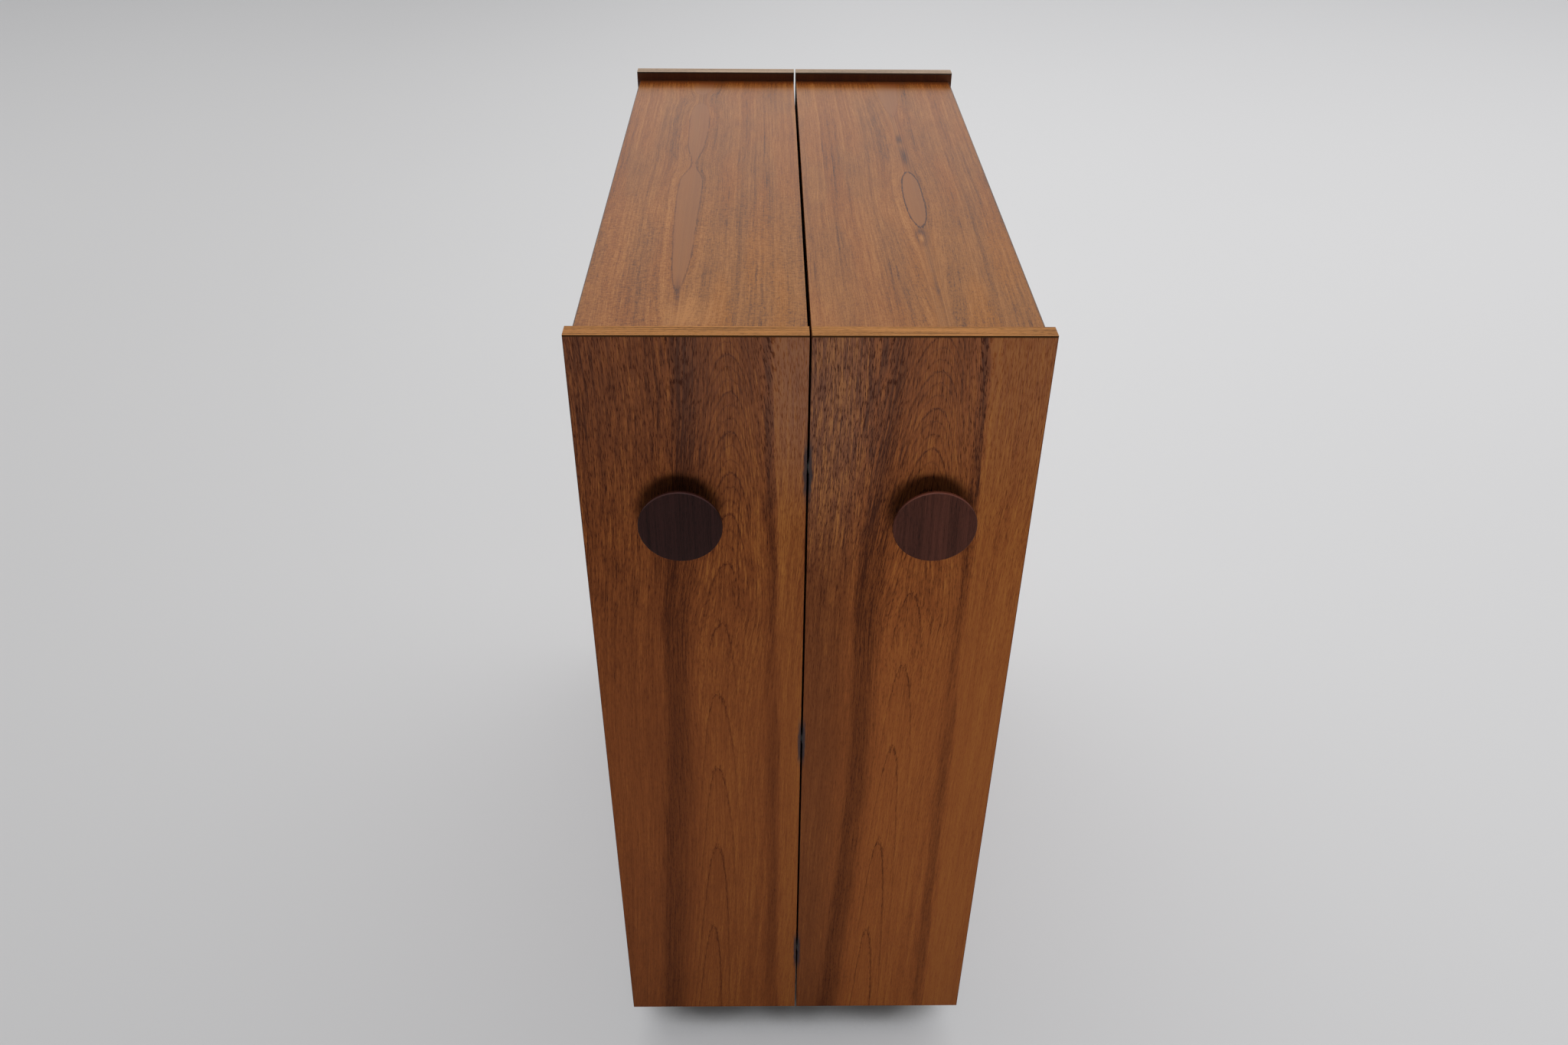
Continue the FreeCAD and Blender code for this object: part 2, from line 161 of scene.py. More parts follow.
# The course of the top veneers from the back to the front: the distance from the back panel and
# the count of rings at the middle, which is lowest where an eye of the figure is widest.
TOP_COURSE = {
    "left": (
        (0, 2.2), (40, 2.6), (73, 3.1), (100, 2.75), (140, 2.5), (220, 2.65), (289, 2.97),
        (340, 2.42), (430, 2.52), (567, 2.93), (620, 3.3), (667, 4.2),
    ),
    "right": (
        (0, 2.2), (60, 2.5), (142, 3.05), (200, 3.25), (285, 3.15), (305, 3.0), (345, 2.68),
        (400, 2.66), (448, 3.0), (500, 3.4), (667, 4.6),
    ),
}
TOP_MIDDLE = {"left": 78.0, "right": 107.0}     # middle of the figure from the top's left edge
TOP_RING = 6.5                                  # breadth of a growth ring on the tops
TOP_DRIFT = 4.0                                 # how far the figure wanders sideways
TOP_TONE = 0.6                                  # tone of plain top veneer
OUTLINE_RING = 3.0                              # the dark ring that outlines the eyes
FIGURE_START = {"left": 130.0, "right": 295.0}  # the outline is faint nearer to the back than this
OUTLINE_STRENGTH = {"left": 0.2, "right": 0.6}
RIPPLE = {"left": 0.9, "right": 0.35}           # strength of the fine cross ripple
RIPPLE_START = (240.0, 480.0)                   # where it grows, from the back panel
WARM_FRONT = (250.0, 640.0)                     # where the ground grows warmer, from the back panel
WARM_RIGHT = (40.0, 130.0)                      # and from the top's left edge
PAINTED_CORNER_FADE = (34.0, 4.0)                       # painted shade and painted reflection before the back panel
PAINTED_CORNER_LINE = (15.0, 2.0)                       # and the darkest painted shade in it

# Marks in the top veneers: distance from the back panel, distance from the figure's middle, half
# length, half breadth, and how much darker (or lighter, below zero).
TOP_MARKS = {
    "left": (
        (205, 72, 85, 0.7, 0.25),
        (330, 75, 60, 0.7, 0.3),
        (450, 48, 70, 0.8, 0.25),
        (560, 66, 60, 0.8, 0.25),
        (360, -52, 110, 0.8, 0.2),
        (630, 12, 46, 24, -0.4),
        (590, 0, 45, 2.5, 0.3),
    ),
    "right": (
        (208, -1, 22, 3.4, 0.5),
        (262, 0, 44, 3.6, 0.45),
        (468, -2, 30, 5.2, 0.55),
        (472, -2, 15, 2.6, -1.0),
        (300, -75, 95, 0.8, 0.3),
        (255, -84, 110, 0.8, 0.28),
        (380, -62, 120, 0.9, 0.25),
        (500, -78, 130, 1.0, 0.28),
        (540, -36, 90, 0.8, 0.2),
        (580, 0, 40, 2.0, 0.18),
    ),
}
MARK_BLUR = 1.6             # how much further than its half breadth a mark fades out

FRONT_EDGE = 0.9            # breadth of the dark line on the outer edge of a front panel
TOP_EDGE = 1.2              # and of a top
PAINTED_GLINT_RISE = (12.0, 32.0)   # a knob's rim gets a painted glint from here up, above its middle
STAIN_REACH = 40.0          # iron stains, up and down from a catch
STAIN_BREADTH = (4.4, 1.8)  # from the meeting plane: where a stain ends, and where it is full
STAIN_STRENGTH = 1.6
STAIN_LIMIT = 0.85          # the wood shows through the stain by the rest

# The lamps: size, place and target in metres, and what differs from a plain wide lamp.
LAMPS = {
    "ceiling": {"size": (10.0, 4.6), "place": (0.9, 2.0, 4.4), "target": (0.9, 2.0, 0.0)},
    "front": {"size": (1.8, 0.9), "place": (0.3, -3.4, 0.62), "target": (0.0, 0.0, 0.6), "spread": 50},
    "strip": {"size": (0.5, 0.12), "place": (-0.1, -1.5, 3.0), "target": (0.0, -0.3, 0.7), "glints": True},
}
FLOOR_REACH = 12.0          # metres from the middle to each edge of the floor
SHADOW_REACH = 100 * MM     # how near to the cabinet the floor's paler look fades
SHADOW_RAYS = 16


# Settings.

def colour(code):
    """The linear colour of a six-digit hex code."""
    channels = [int(code[i:i + 2], 16) / 255 for i in (0, 2, 4)]
    return tuple(c / 12.92 if c <= 0.04045 else ((c + 0.055) / 1.055) ** 2.4 for c in channels)


def colour_property(name, description, code):
    """A colour that the user can set, with a hex code for its default."""
    return FloatVectorProperty(
        name=name, description=description, default=colour(code), subtype="COLOR", size=3, min=0, max=1)


def length_property(name, description, millimetres):
    """A length that the user can set."""
    return FloatProperty(
        name=name, description=description, default=millimetres * MM, min=0, unit="LENGTH", precision=5)


def count_property(name, description, count, least):
    """A count that the user can set."""
    return IntProperty(name=name, description=description, default=count, min=least)


def power_property(name, description, watts):
    """The power of a lamp, which the user can set."""
    return FloatProperty(name=name, description=description, default=watts, min=0, unit="POWER")


def angle_property(name, description, degrees):
    """An angle that the user can set."""
    return FloatProperty(name=name, description=description, default=math.radians(degrees), subtype="ANGLE")


class WoodColours(bpy.types.PropertyGroup):
    """Colours of the wood."""

    front_dark: colour_property("Front dark", "Dark growth band of the front veneers", "401f13")
    front_left: colour_property("Left front ground", "Ground colour of the left front veneer", "854a27")
    front_right: colour_property("Right front ground", "Ground colour of the right front veneer", "93532b")
    front_light: colour_property("Front light", "Light streaks of the front veneers", "b8783a")
    front_red: colour_property("Front red", "Redder wood beside the right panel's meeting edge", "7c4728")
    # Painted glare: a pale sheen painted on the upper front veneers.
    painted_glare: colour_property("Bloom", "Faint bloom on the top of the front veneers", "9a7160")
    top_dark: colour_property("Top dark", "Lines in the top veneers", "56301a")
    top_mid: colour_property("Top ground", "Ground colour of the top veneers", "995a24")
    top_warm: colour_property("Top warm ground", "Warmer ground towards the front", "a3631a")
    top_olive: colour_property("Top olive", "Duller patches of the top veneers", "905e30")
    top_eye: colour_property("Top eye", "Plain wood in the eyes of the top veneers", "8a5a3c")
    # Painted shade and painted reflection of the back panel, in the corner before it.
    top_corner: colour_property("Top corner", "Deeper colour in the corner before the back panels", "6a2c08")
    top_light: colour_property("Top light", "Light streaks of the top veneers", "bb7d40")
    edge_line: colour_property("Top edge", "Outer edge of the tops", "4b4642")
    lipping: colour_property("Front lipping", "Solid strips on the front panels' top edges", "b37b48")
    back_lipping: colour_property("Back lipping", "Paler strips on the back panels' top edges", "a78e76")
    stain: colour_property("Iron stain", "Stain round the catches", "33343a")
    rosewood_left: colour_property("Left knob", "Rosewood of the left knob", "2b1614")
    rosewood_right: colour_property("Right knob", "Rosewood of the right knob", "4a281f")
    plywood: colour_property("Plywood", "Splines in the corner joints", "b99a6c")


class FittingLook(bpy.types.PropertyGroup):
    """Colours and sizes of the metal and plastic fittings."""

    brass: colour_property("Brass", "Hinges and their screws", "b08a4a")
    zinc: colour_property("Zinc", "Castor plates, forks and screws", "9b9ca0")
    nickel: colour_property("Nickel", "Magnets and strikes", "6a6a69")
    nylon: colour_property("Nylon", "Castor wheels", "17181a")
    hinge_screw_radius: length_property("Hinge screw", "Head radius of the hinge screws", 2.6)
    strike_screw_radius: length_property("Strike screw", "Head radius of the strike screws", 1.9)
    plate_screw_radius: length_property("Plate screw", "Head radius of the castor plate screws", 3.4)
    rivet_radius: length_property("Axle rivet", "Radius of the peened ends of the castor axles", 4.0)
    knob_round: length_property("Knob rounding", "Rounding of the knobs' front edge", 1.3)
    knob_steps: count_property("Knob steps", "Steps round a knob", 128, 16)
    wheel_ribs: count_property("Wheel ribs", "Moulded ribs on each side of a wheel", 8, 3)
    wheel_steps: count_property("Wheel steps", "Steps round a wheel", 64, 16)


class StageLook(bpy.types.PropertyGroup):
    """Floor, lamps and camera."""

    floor: colour_property("Floor", "Pale studio floor", "acabaa")
    backdrop: colour_property("Backdrop", "What is seen beyond the floor", "d0d1d4")
    floor_lift: FloatProperty(
        name="Floor lift", description="How much paler the floor looks to the camera alone",
        default=0.5, min=0)
    sky: FloatProperty(
        name="Soft light", description="Strength of the light from all sides", default=0.08, min=0)
    ceiling: power_property("Ceiling lamp", "Power of the large lamp overhead", 290)
    front: power_property("Front lamp", "Power of the large lamp at the front", 4.6)
    strip: power_property("Strip lamp", "Power of the small lamp that glints on the edges", 1.5)
    lens: FloatProperty(
        name="Lens", description="Focal length of the camera", default=28.57, unit="CAMERA")
    eye: FloatVectorProperty(
        name="Eye point", description="Place of the camera", default=(-0.0337, -1.1910, 1.3656),
        subtype="TRANSLATION")
    pitch: angle_property("Pitch", "How far the camera looks down", 35.927)
    heading: angle_property("Heading", "How far the camera looks to the right", 0.976)
    roll: angle_property("Roll", "How far the camera leans to the left", 0.578)


# Node trees: sums and patterns.

class Value:
    """An output socket in a node tree. Arithmetic on it adds Math nodes."""

    def __init__(self, socket):
        self.socket = socket
        self.tree = socket.id_data

    def then(self, operation, *terms):
        """A Math node on this value and further terms."""
        math_node = self.tree.nodes.new("ShaderNodeMath")
        math_node.operation = operation
        for slot, term in zip(math_node.inputs, (self, *terms)):
            plug(slot, term)
        return Value(math_node.outputs[0])

    def __add__(self, term):
        return self.then("ADD", term)

    def __sub__(self, term):
        return self.then("SUBTRACT", term)

    def __rsub__(self, term):
        return self.then("MULTIPLY_ADD", -1.0, term)

    def __mul__(self, term):
        return self.then("MULTIPLY", term)

    def __truediv__(self, term):
        return self.then("DIVIDE", term)

    def __pow__(self, term):
        return self.then("POWER", term)

    def __abs__(self):
        return self.then("ABSOLUTE")

    __radd__ = __add__      # for sum(), which starts from 0


def plug(slot, term):
    """Feed an input socket from a value, or set it to a plain number or colour."""
    if isinstance(term, Value):
        slot.id_data.links.new(term.socket, slot)
    elif slot.type == "RGBA":
        slot.default_value = (*term, 1.0)
    else:
        slot.default_value = term


def smooth(value, start, end):
    """0 before start and 1 after end, with a smooth rise between; it falls if end is less."""
    node = value.tree.nodes.new("ShaderNodeMapRange")
    node.interpolation_type = "SMOOTHSTEP"
    plug(node.inputs["Value"], value)
    node.inputs["From Min"].default_value = min(start, end)
    node.inputs["From Max"].default_value = max(start, end)
    node.inputs["To Min"].default_value = float(start > end)
    node.inputs["To Max"].default_value = float(start < end)
    return Value(node.outputs[0])


def near(value, place, breadth):
    """1 at a place, and 0 further from it than a breadth."""
    return smooth(abs(value - place), breadth, 0.0)


def band(value, start, full, fading, end):
    """1 between full and fading, and 0 before start and after end."""
    return smooth(value, start, full) * smooth(value, end, fading)


def noise(x, y, size, seed, detail=2.0):
    """Smooth noise from 0 to 1, with features of a size along x and along y."""
    tree = x.tree
    vector = tree.nodes.new("ShaderNodeCombineXYZ")
    plug(vector.inputs[0], x / size[0])
    plug(vector.inputs[1], y / size[1])
    vector.inputs[2].default_value = seed * 7.31        # each seed reads another level of the noise
    texture = tree.nodes.new("ShaderNodeTexNoise")
    tree.links.new(vector.outputs[0], texture.inputs["Vector"])
    texture.inputs["Scale"].default_value = 1.0
    texture.inputs["Detail"].default_value = detail
    return Value(texture.outputs[0])


def follow(run, stations):
    """A smooth curve through pairs of a distance and a value."""
    longest = max(at for at, _ in stations)
    largest = max(value for _, value in stations)
    node = run.tree.nodes.new("ShaderNodeFloatCurve")
    curve = node.mapping.curves[0]
    scaled = [(at / longest, value / largest) for at, value in stations]
    curve.points[0].location = scaled[0]
    curve.points[1].location = scaled[-1]
    for at, value in scaled[1:-1]:
        curve.points.new(at, value)
    node.mapping.update()
    plug(node.inputs["Value"], run / longest)
    return Value(node.outputs[0]) * largest


def blend(amount, low, high):
    """A colour from low, where the amount is 0, to high, where it is 1."""
    node = amount.tree.nodes.new("ShaderNodeMix")
    node.data_type = "RGBA"
    plug(node.inputs[0], amount)
    plug(node.inputs[6], low)
    plug(node.inputs[7], high)
    return Value(node.outputs[2])


def shades(tone, dark, ground, light):
    """A colour for a tone: dark at 0, the ground at a half and light at 1."""
    return blend(tone * 2.0 - 1.0, blend(tone * 2.0, dark, ground), light)


def tinted(shade, times):
    """A plain colour made darker or paler."""
    return [min(1.0, channel * times) for channel in shade]


class Finish:
    """A material under way: its shader, and x, y and z of the point it colours, in millimetres."""

    def __init__(self, name, roughness, specular=0.5, metallic=0.0):
        self.material = bpy.data.materials.new(name)
        self.material.use_nodes = True
        self.tree = self.material.node_tree
        self.shader = self.tree.nodes["Principled BSDF"]
        self.shader.inputs["Roughness"].default_value = roughness
        self.shader.inputs["Specular IOR Level"].default_value = specular
        self.shader.inputs["Metallic"].default_value = metallic
        coordinates = self.tree.nodes.new("ShaderNodeTexCoord")
        self.x, self.y, self.z = self.split(coordinates.outputs["Object"], 1 / MM)

    def split(self, socket, scale):
        """The three parts of a vector socket, each times a scale."""
        parts = self.tree.nodes.new("ShaderNodeSeparateXYZ")
        self.tree.links.new(socket, parts.inputs[0])
        return [Value(part) * scale for part in parts.outputs]

    def facing(self):
        """How far the surface faces along X, Y and Z, either way."""
        geometry = self.tree.nodes.new("ShaderNodeNewGeometry")
        return [abs(part) for part in self.split(geometry.outputs["Normal"], 1.0)]

    def paint(self, shade, roughness=None):
        """Give the shader its colour and, where it varies, its roughness."""
        plug(self.shader.inputs["Base Color"], shade)
        if roughness is not None:
            plug(self.shader.inputs["Roughness"], roughness)

    def emboss(self, height, depth):
        """Give the surface a relief: height from 0 to 1, depth in millimetres."""
        bump = self.tree.nodes.new("ShaderNodeBump")
        bump.inputs["Distance"].default_value = depth * MM
        plug(bump.inputs["Height"], height)
        self.tree.links.new(bump.outputs[0], self.shader.inputs["Normal"])

    def dress(self, *names):
        """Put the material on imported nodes."""
        for name in names:
            slots = NODES[name].data.materials
            slots.clear()
            slots.append(self.material)


# Wood grain. Measures along the grain (run) and across it are in millimetres, and a tone is 0
# where the wood is dark and 1 where it is light.

def pores(across, run, seed):
    """Short open pores along the grain, 0 or 1."""
    return smooth(noise(across, run, size=(0.45, 5), seed=seed), 0.5, 0.64)


def flecks(across, run, seed):
    """Uneven dark and light flecks along the grain, as a shift of the tone."""
    return noise(across, run, size=(1.1, 30), seed=seed, detail=3.0) - 0.5


def fibres(across, run, seed):
    """Fibres, thin and broad streaks and soft clouds along the grain, as a shift of the tone."""
    fine = noise(across, run, size=(0.6, 35), seed=seed + 1, detail=3.0) - 0.5
    thin = noise(across, run, size=(2.2, 450), seed=seed + 2) - 0.5
    broad = noise(across, run, size=(9, 600), seed=seed + 3) - 0.5
    cloud = noise(across, run, size=(50, 180), seed=seed + 4) - 0.5
    return fine * 0.5 + thin * 0.4 + broad * 0.35 + cloud * 0.3


def ring_lines(at, seed, ragged, times=1.0):
    """Thin lines along the growth rings of a figure, or along several times as many."""
    shift = (noise(at.across, at.run, size=(1.3, 9), seed=seed, detail=3.0) - 0.5) * ragged
    to_line = abs((at.rings * times + shift + 0.5).then("FRACT") - 0.5)
    return smooth(to_line / (at.slope * times), 0.9, 0.2)


def outer_edge(finish, node, breadth):
    """1 on a narrow strip along the outer edge of a node, away from the meeting plane."""
    outer = max(abs(corner.x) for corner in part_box(node)) / MM
    return smooth(abs(finish.x), outer - breadth, outer - breadth + 0.6)


# The front panels.

class FrontFigure:
    """Where a point of a front panel lies in its figure.

    The run is the drop below the top edge, and the flow the measure across the fibres. The side
    is 0 at the middle of the figure, and -1 and 1 at its dark bands. The slope is how fast the
    count of rings changes for each millimetre. Each zone is 1 inside and 0 outside: the dark
    bands, the left zone and the margin outside them, and where the wood is arched.
    """

    def __init__(self, finish, half):
        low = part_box(f"{half}_front_panel")[0]
        self.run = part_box(f"{half}_front_lipping")[1].z / MM - finish.z
        self.across = finish.x - low.x / MM + (finish.y - low.y / MM) * EDGE_TURN
        drift = (noise(self.run, self.across, size=(160, 400), seed=5) - 0.5) * FRONT_DRIFT
        drops, *courses = zip(*FRONT_COURSE[half])
        middle, left_reach, right_reach, count = [
            follow(self.run, list(zip(drops, course))) for course in courses]
        off = self.across + drift - middle
        reach = left_reach + smooth(off, -0.5, 0.5) * (right_reach - left_reach)
        self.side = off / reach
        self.rings = ((self.side * BAND_RINGS) ** 2.0 + count ** 2.0).then("SQRT")
        least_slope = smooth(self.run, *LINES_FADE) * 0.014 + 0.014
        self.slope = abs(self.side) / self.rings * (BAND_RINGS ** 2 / USUAL_REACH) + least_slope
        self.flow = off - self.lean()
        self.find_zones()

    def lean(self):
        """How far the fibres have leaned inwards with the arches."""
        strength = smooth(abs(self.side), 0.0, 0.7) * smooth(abs(self.side), 1.5, 0.7)
        drop = (self.run.then("MINIMUM", LEAN_DROP) - LEAN_DROP / 2) * smooth(self.run, *LEAN_FADE)
        return drop * LEAN_RATE * strength * self.side.then("SIGN")

    def find_zones(self):
        """Find the frayed dark bands, the wood outside them and the arches near the top edge."""
        fray = noise(self.across, self.run, size=(3, 60), seed=9, detail=4.0) - 0.5
        frayed = self.side + fray * BAND_FRAY
        self.left_band = band(frayed, *LEFT_BAND)
        self.right_band = band(frayed, *RIGHT_BAND)
        self.left_zone = smooth(self.side, *LEFT_ZONE)
        self.margin = smooth(self.side, *MARGIN)
        self.arched = smooth(abs(self.side), 0.85, 0.3) * smooth(self.run, *ARCHES_FADE)

    def weigh(self, strengths):
        """Sum of the named zones, each times its strength."""
        return sum(getattr(self, zone) * strength for zone, strength in strengths.items())


def front_rings(at):
    """Growth rings of a front panel, bold at the middle and crowded near the top edge."""
    boldness = smooth(abs(at.side), 0.5, 0.05) * (ARCH_STRENGTH - at.arched * 0.08) + 0.03
    arches = ring_lines(at, seed=3, ragged=0.3) * boldness
    crowded = ring_lines(at, seed=4, ragged=0.7, times=3.0) * at.arched
    shadows = (at.rings.then("FRACT") - 0.5) * smooth(abs(at.side), 1.2, 0.4)
    return arches + crowded * CROWDED_STRENGTH + shadows * RING_SHADOW


def front_grain(at, pore):
    """Fibres, dark streaks, pores and flecks of a front panel, stronger near the top edge."""
    near_top = smooth(at.run, *GRAIN_FADE)
    streaks = smooth(noise(at.flow, at.run, size=(1.7, 110), seed=27), 0.56, 0.72)
    grain = fibres(at.flow, at.run, 11) * (near_top * 0.65 + 0.65)
    grain = grain - streaks * near_top * (at.left_zone * 0.12 + 0.05)
    grain = grain - pore * (near_top * 0.24 + 0.14) * (1.0 - at.arched * 0.3)
    grain = grain + flecks(at.flow, at.run, 19) * (near_top * 0.9 + 0.35)
    return grain * (1.0 - at.margin * 0.25)


def painted_sheen_mask(finish, at, half):
    """1 where a front panel has a painted sheen, near the top edge and the meeting edge."""
    down, inwards = SHEEN_REACH[half]
    return smooth(at.run, down, 60.0) * smooth(abs(finish.x), inwards, inwards * 0.4)


def front_veneer(half, colours):
    """Flat-sawn teak of one front panel: arches in the middle between two dark bands."""
    finish = Finish(f"teak_front_{half}", roughness=0.42, specular=0.06)
    at = FrontFigure(finish, half)
    pore = pores(at.flow, at.run * 0.8, 17)
    grain = front_grain(at, pore)
    upper_shade = smooth(at.run, *SHADE_FADE) * (at.weigh(UPPER_DARKENING) + UPPER_SHADE)
    tone = grain + FRONT_TONE - at.weigh(FRONT_DARKENING) - front_rings(at) - upper_shade
    sheen = painted_sheen_mask(finish, at, half)
    ground = getattr(colours, f"front_{half}")
    if half == "left":
        tone = tone - smooth(at.run, 200.0, 60.0) * smooth(at.side, 0.2, -0.9) * 0.035
    else:
        ground = blend(smooth(at.across, 60.0, 12.0), ground, colours.front_red)
        # Painted sheen: paler, livelier grain where the right panel catches the light.
        tone = tone + grain * sheen * 1.1 + sheen * 0.15
    shade = shades(tone, colours.front_dark, ground, colours.front_light)
    # Painted glare near the top edge and on the painted sheen, kept out of the pores.
    painted_glare = smooth(at.run, *PAINTED_GLARE_FADE) * (0.22 - at.left_zone * 0.08) + sheen * 0.28
    shade = blend(painted_glare * (1.0 - pore * 0.8), shade, colours.painted_glare)
    shade = stained(finish, shade, colours.stain)
    shade = blend(outer_edge(finish, f"{half}_front_panel", FRONT_EDGE) * 0.6, shade, colours.front_dark)
    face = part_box(f"{half}_front_panel")[0].y / MM
    finish.paint(lipped(finish, shade, face, colours.lipping))
    finish.emboss(pore * -1.0, 0.04)
    return finish


def lipped(finish, shade, face, lipping):
    """The shade, dark at the top edge, but a solid strip where it faces up, with a painted glint along the
    face.
    """
    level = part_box("left_front_lipping")[0].z / MM
    on_top = smooth(finish.facing()[2], 0.6, 0.9) * smooth(finish.z, level - 0.1, level)
    lines = noise(finish.y, finish.x, size=(1.3, 160), seed=61, detail=3.0) - 0.5
    tone = lines * 2.6 + 0.56 - pores(finish.y, finish.x, 67) * 0.36
    # Painted glint along the strip's outer edge.
    painted_edge_glint = smooth(abs(finish.y - face), 0.9, 0.4)
    strip = shades(tone + painted_edge_glint * 0.7, tinted(lipping, 0.35), lipping, tinted(lipping, 1.4))
    top_edge = smooth(finish.z, level + 1.0, level + 1.6)
    return blend(on_top, blend(top_edge, shade, tinted(lipping, 0.12)), strip)


def stained(finish, shade, stain):
    """The shade with iron stains on the meeting edges at the catches."""
    blotch = (noise(finish.x, finish.z, size=(3, 9), seed=23) - 0.5) * 3.0
    at_edge = smooth(abs(finish.x) + blotch, *STAIN_BREADTH)
    strength = sum(
        near(finish.z, (low + high) / 2 / MM, STAIN_REACH) * at_edge * STAIN_STRENGTH
        for low, high in level_runs("catch_strikes"))
    return blend(strength.then("MINIMUM", STAIN_LIMIT), shade, stain)


# The recessed tops.

class TopFigure:
    """Where a point of a recessed top lies in its figure.

    The run is the distance from the back panel, and the flow the measure across the fibres. The
    off is the distance from the middle of the figure, below zero on the left, and outside is 0
    in the eyes and 1 round them.
    """

    def __init__(self, finish, half):
        low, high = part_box(f"{half}_top")
        self.run = high.y / MM - finish.y
        self.across = finish.x - low.x / MM + finish.z - high.z / MM
        drift = (noise(self.run, self.across, size=(120, 300), seed=31) - 0.5) * TOP_DRIFT
        self.off = self.across + drift - TOP_MIDDLE[half]
        count = follow(self.run, TOP_COURSE[half])
        self.rings = ((self.off / TOP_RING) ** 2.0 + count ** 2.0).then("SQRT")
        self.slope = abs(self.off) / self.rings / TOP_RING ** 2 + 0.012
        way = smooth(self.off, -9.0, 9.0) * 2.0 - 1.0
        self.flow = self.off + (self.rings * TOP_RING - abs(self.off)) * way
        self.outside = smooth(self.rings, OUTLINE_RING - 0.1, OUTLINE_RING + 0.1)


def top_rings(at, half):
    """The dark outline of the eyes, and faint worn rings beside the middle of the figure."""
    begun = smooth(at.run, FIGURE_START[half] - 20, FIGURE_START[half] + 25)
    outline = near(at.rings, OUTLINE_RING, 0.5) * begun * OUTLINE_STRENGTH[half]
    worn = smooth(noise(at.across, at.run, size=(2, 11), seed=35), 0.3, 0.5)
    faint = worn * smooth(abs(at.off), 45.0, 8.0) * 0.12
    return ring_lines(at, seed=33, ragged=0.1) * (outline * (worn * 0.5 + 0.5) + faint)


def top_grain(at, pore, half):
    """Fibres, soft dark bands, pores, flecks and cross ripple of a top, plainer in the eyes."""
    bands = smooth(noise(at.flow, at.run, size=(6, 500), seed=53), 0.5, 0.72) * at.outside
    ripple = (noise(at.across, at.run, size=(4, 2.2), seed=49) - 0.5) * smooth(at.run, *RIPPLE_START)
    grain = fibres(at.flow, at.run, 41) * (at.outside * 1.1 + 0.4) - pore * 0.25 - bands * 0.14
    return grain + flecks(at.flow, at.run, 43) * at.outside * 0.4 + ripple * at.outside * RIPPLE[half]


def top_marks(at, half):
    """The larger marks of a top, as a darkening of the tone."""
    return sum(
        near(at.run, place, length) * near(at.off, side, breadth * MARK_BLUR) * strength
        for place, side, length, breadth, strength in TOP_MARKS[half])


def top_ground(at, corner, colours):
    """Ground colour of a top: warmer at the front, duller in patches, and with painted shade and reflection
    at the back.
    """
    warmth = smooth(at.run, *WARM_FRONT) * smooth(at.across, *WARM_RIGHT)
    dull = smooth(noise(at.flow, at.run, size=(24, 170), seed=57, detail=1.0), 0.4, 0.62)
    ground = blend(warmth, colours.top_mid, colours.top_warm)
    ground = blend(dull * 0.45, ground, colours.top_olive)
    ground = blend((1.0 - at.outside) * 0.5, ground, colours.top_eye)
    return blend(corner * 0.85, ground, colours.top_corner)


def top_veneer(half, colours):
    """Teak of one recessed top, with long eyes in its figure."""
    finish = Finish(f"teak_top_{half}", roughness=0.22, specular=0.32)
    at = TopFigure(finish, half)
    pore = pores(at.flow, at.run * 1.6, 47) * (at.outside * 0.8 + 0.2)
    # Painted shade and painted reflection of the back panel in the corner before it.
    corner = smooth(at.run, *PAINTED_CORNER_FADE)
    painted_corner_shade = corner * 0.1 + smooth(at.run, *PAINTED_CORNER_LINE) * 0.2
    tone = top_grain(at, pore, half) + TOP_TONE - top_rings(at, half) - top_marks(at, half) - painted_corner_shade
    shade = shades(tone, colours.top_dark, top_ground(at, corner, colours), colours.top_light)
    finish.paint(blend(outer_edge(finish, f"{half}_top", TOP_EDGE) * 0.7, shade, colours.edge_line))
    finish.emboss(pore * -1.0, 0.02)
    return finish


# The other boards, the knobs and the splines.

def straight_grain(finish, run, across, colours, seed):
    """Shade of straight-grained teak, with its pores as a relief."""
    bend = (noise(run, across, size=(240, 300), seed=seed) - 0.5) * 16.0
    pore = pores(across, run, seed + 5)
    finish.emboss(pore * -1.0, 0.04)
    tone = fibres(across + bend, run, seed) * 1.2 + 0.5 - pore * 0.17
    return shades(tone, colours.front_dark, colours.front_left, colours.front_light)


def level_teak(colours):
    """Teak that lies along Y, for the bottoms, shelves and rails."""
    finish = Finish("teak_level", roughness=0.42, specular=0.2)
    finish.paint(straight_grain(finish, finish.y, finish.x + finish.z, colours, 111))
    return finish


def upright_teak(colours):
    """Upright teak for the sides and backs; the backs have painted shade on their inner faces, and pale
    strips.
    """
    finish = Finish("teak_upright", roughness=0.42, specular=0.2)
    shade = straight_grain(finish, finish.z, finish.x + finish.y, colours, 101)
    low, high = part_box("left_back_panel")
    # Painted shade on the back panels' inner faces, which face the tray.
    painted_inner_shade = near(finish.y, low.y / MM, 1.0) * smooth(finish.facing()[1], 0.6, 0.9)
    shade = blend(painted_inner_shade * 0.75, shade, colours.front_dark)
    finish.paint(lipped(finish, shade, high.y / MM, colours.back_lipping))
    return finish


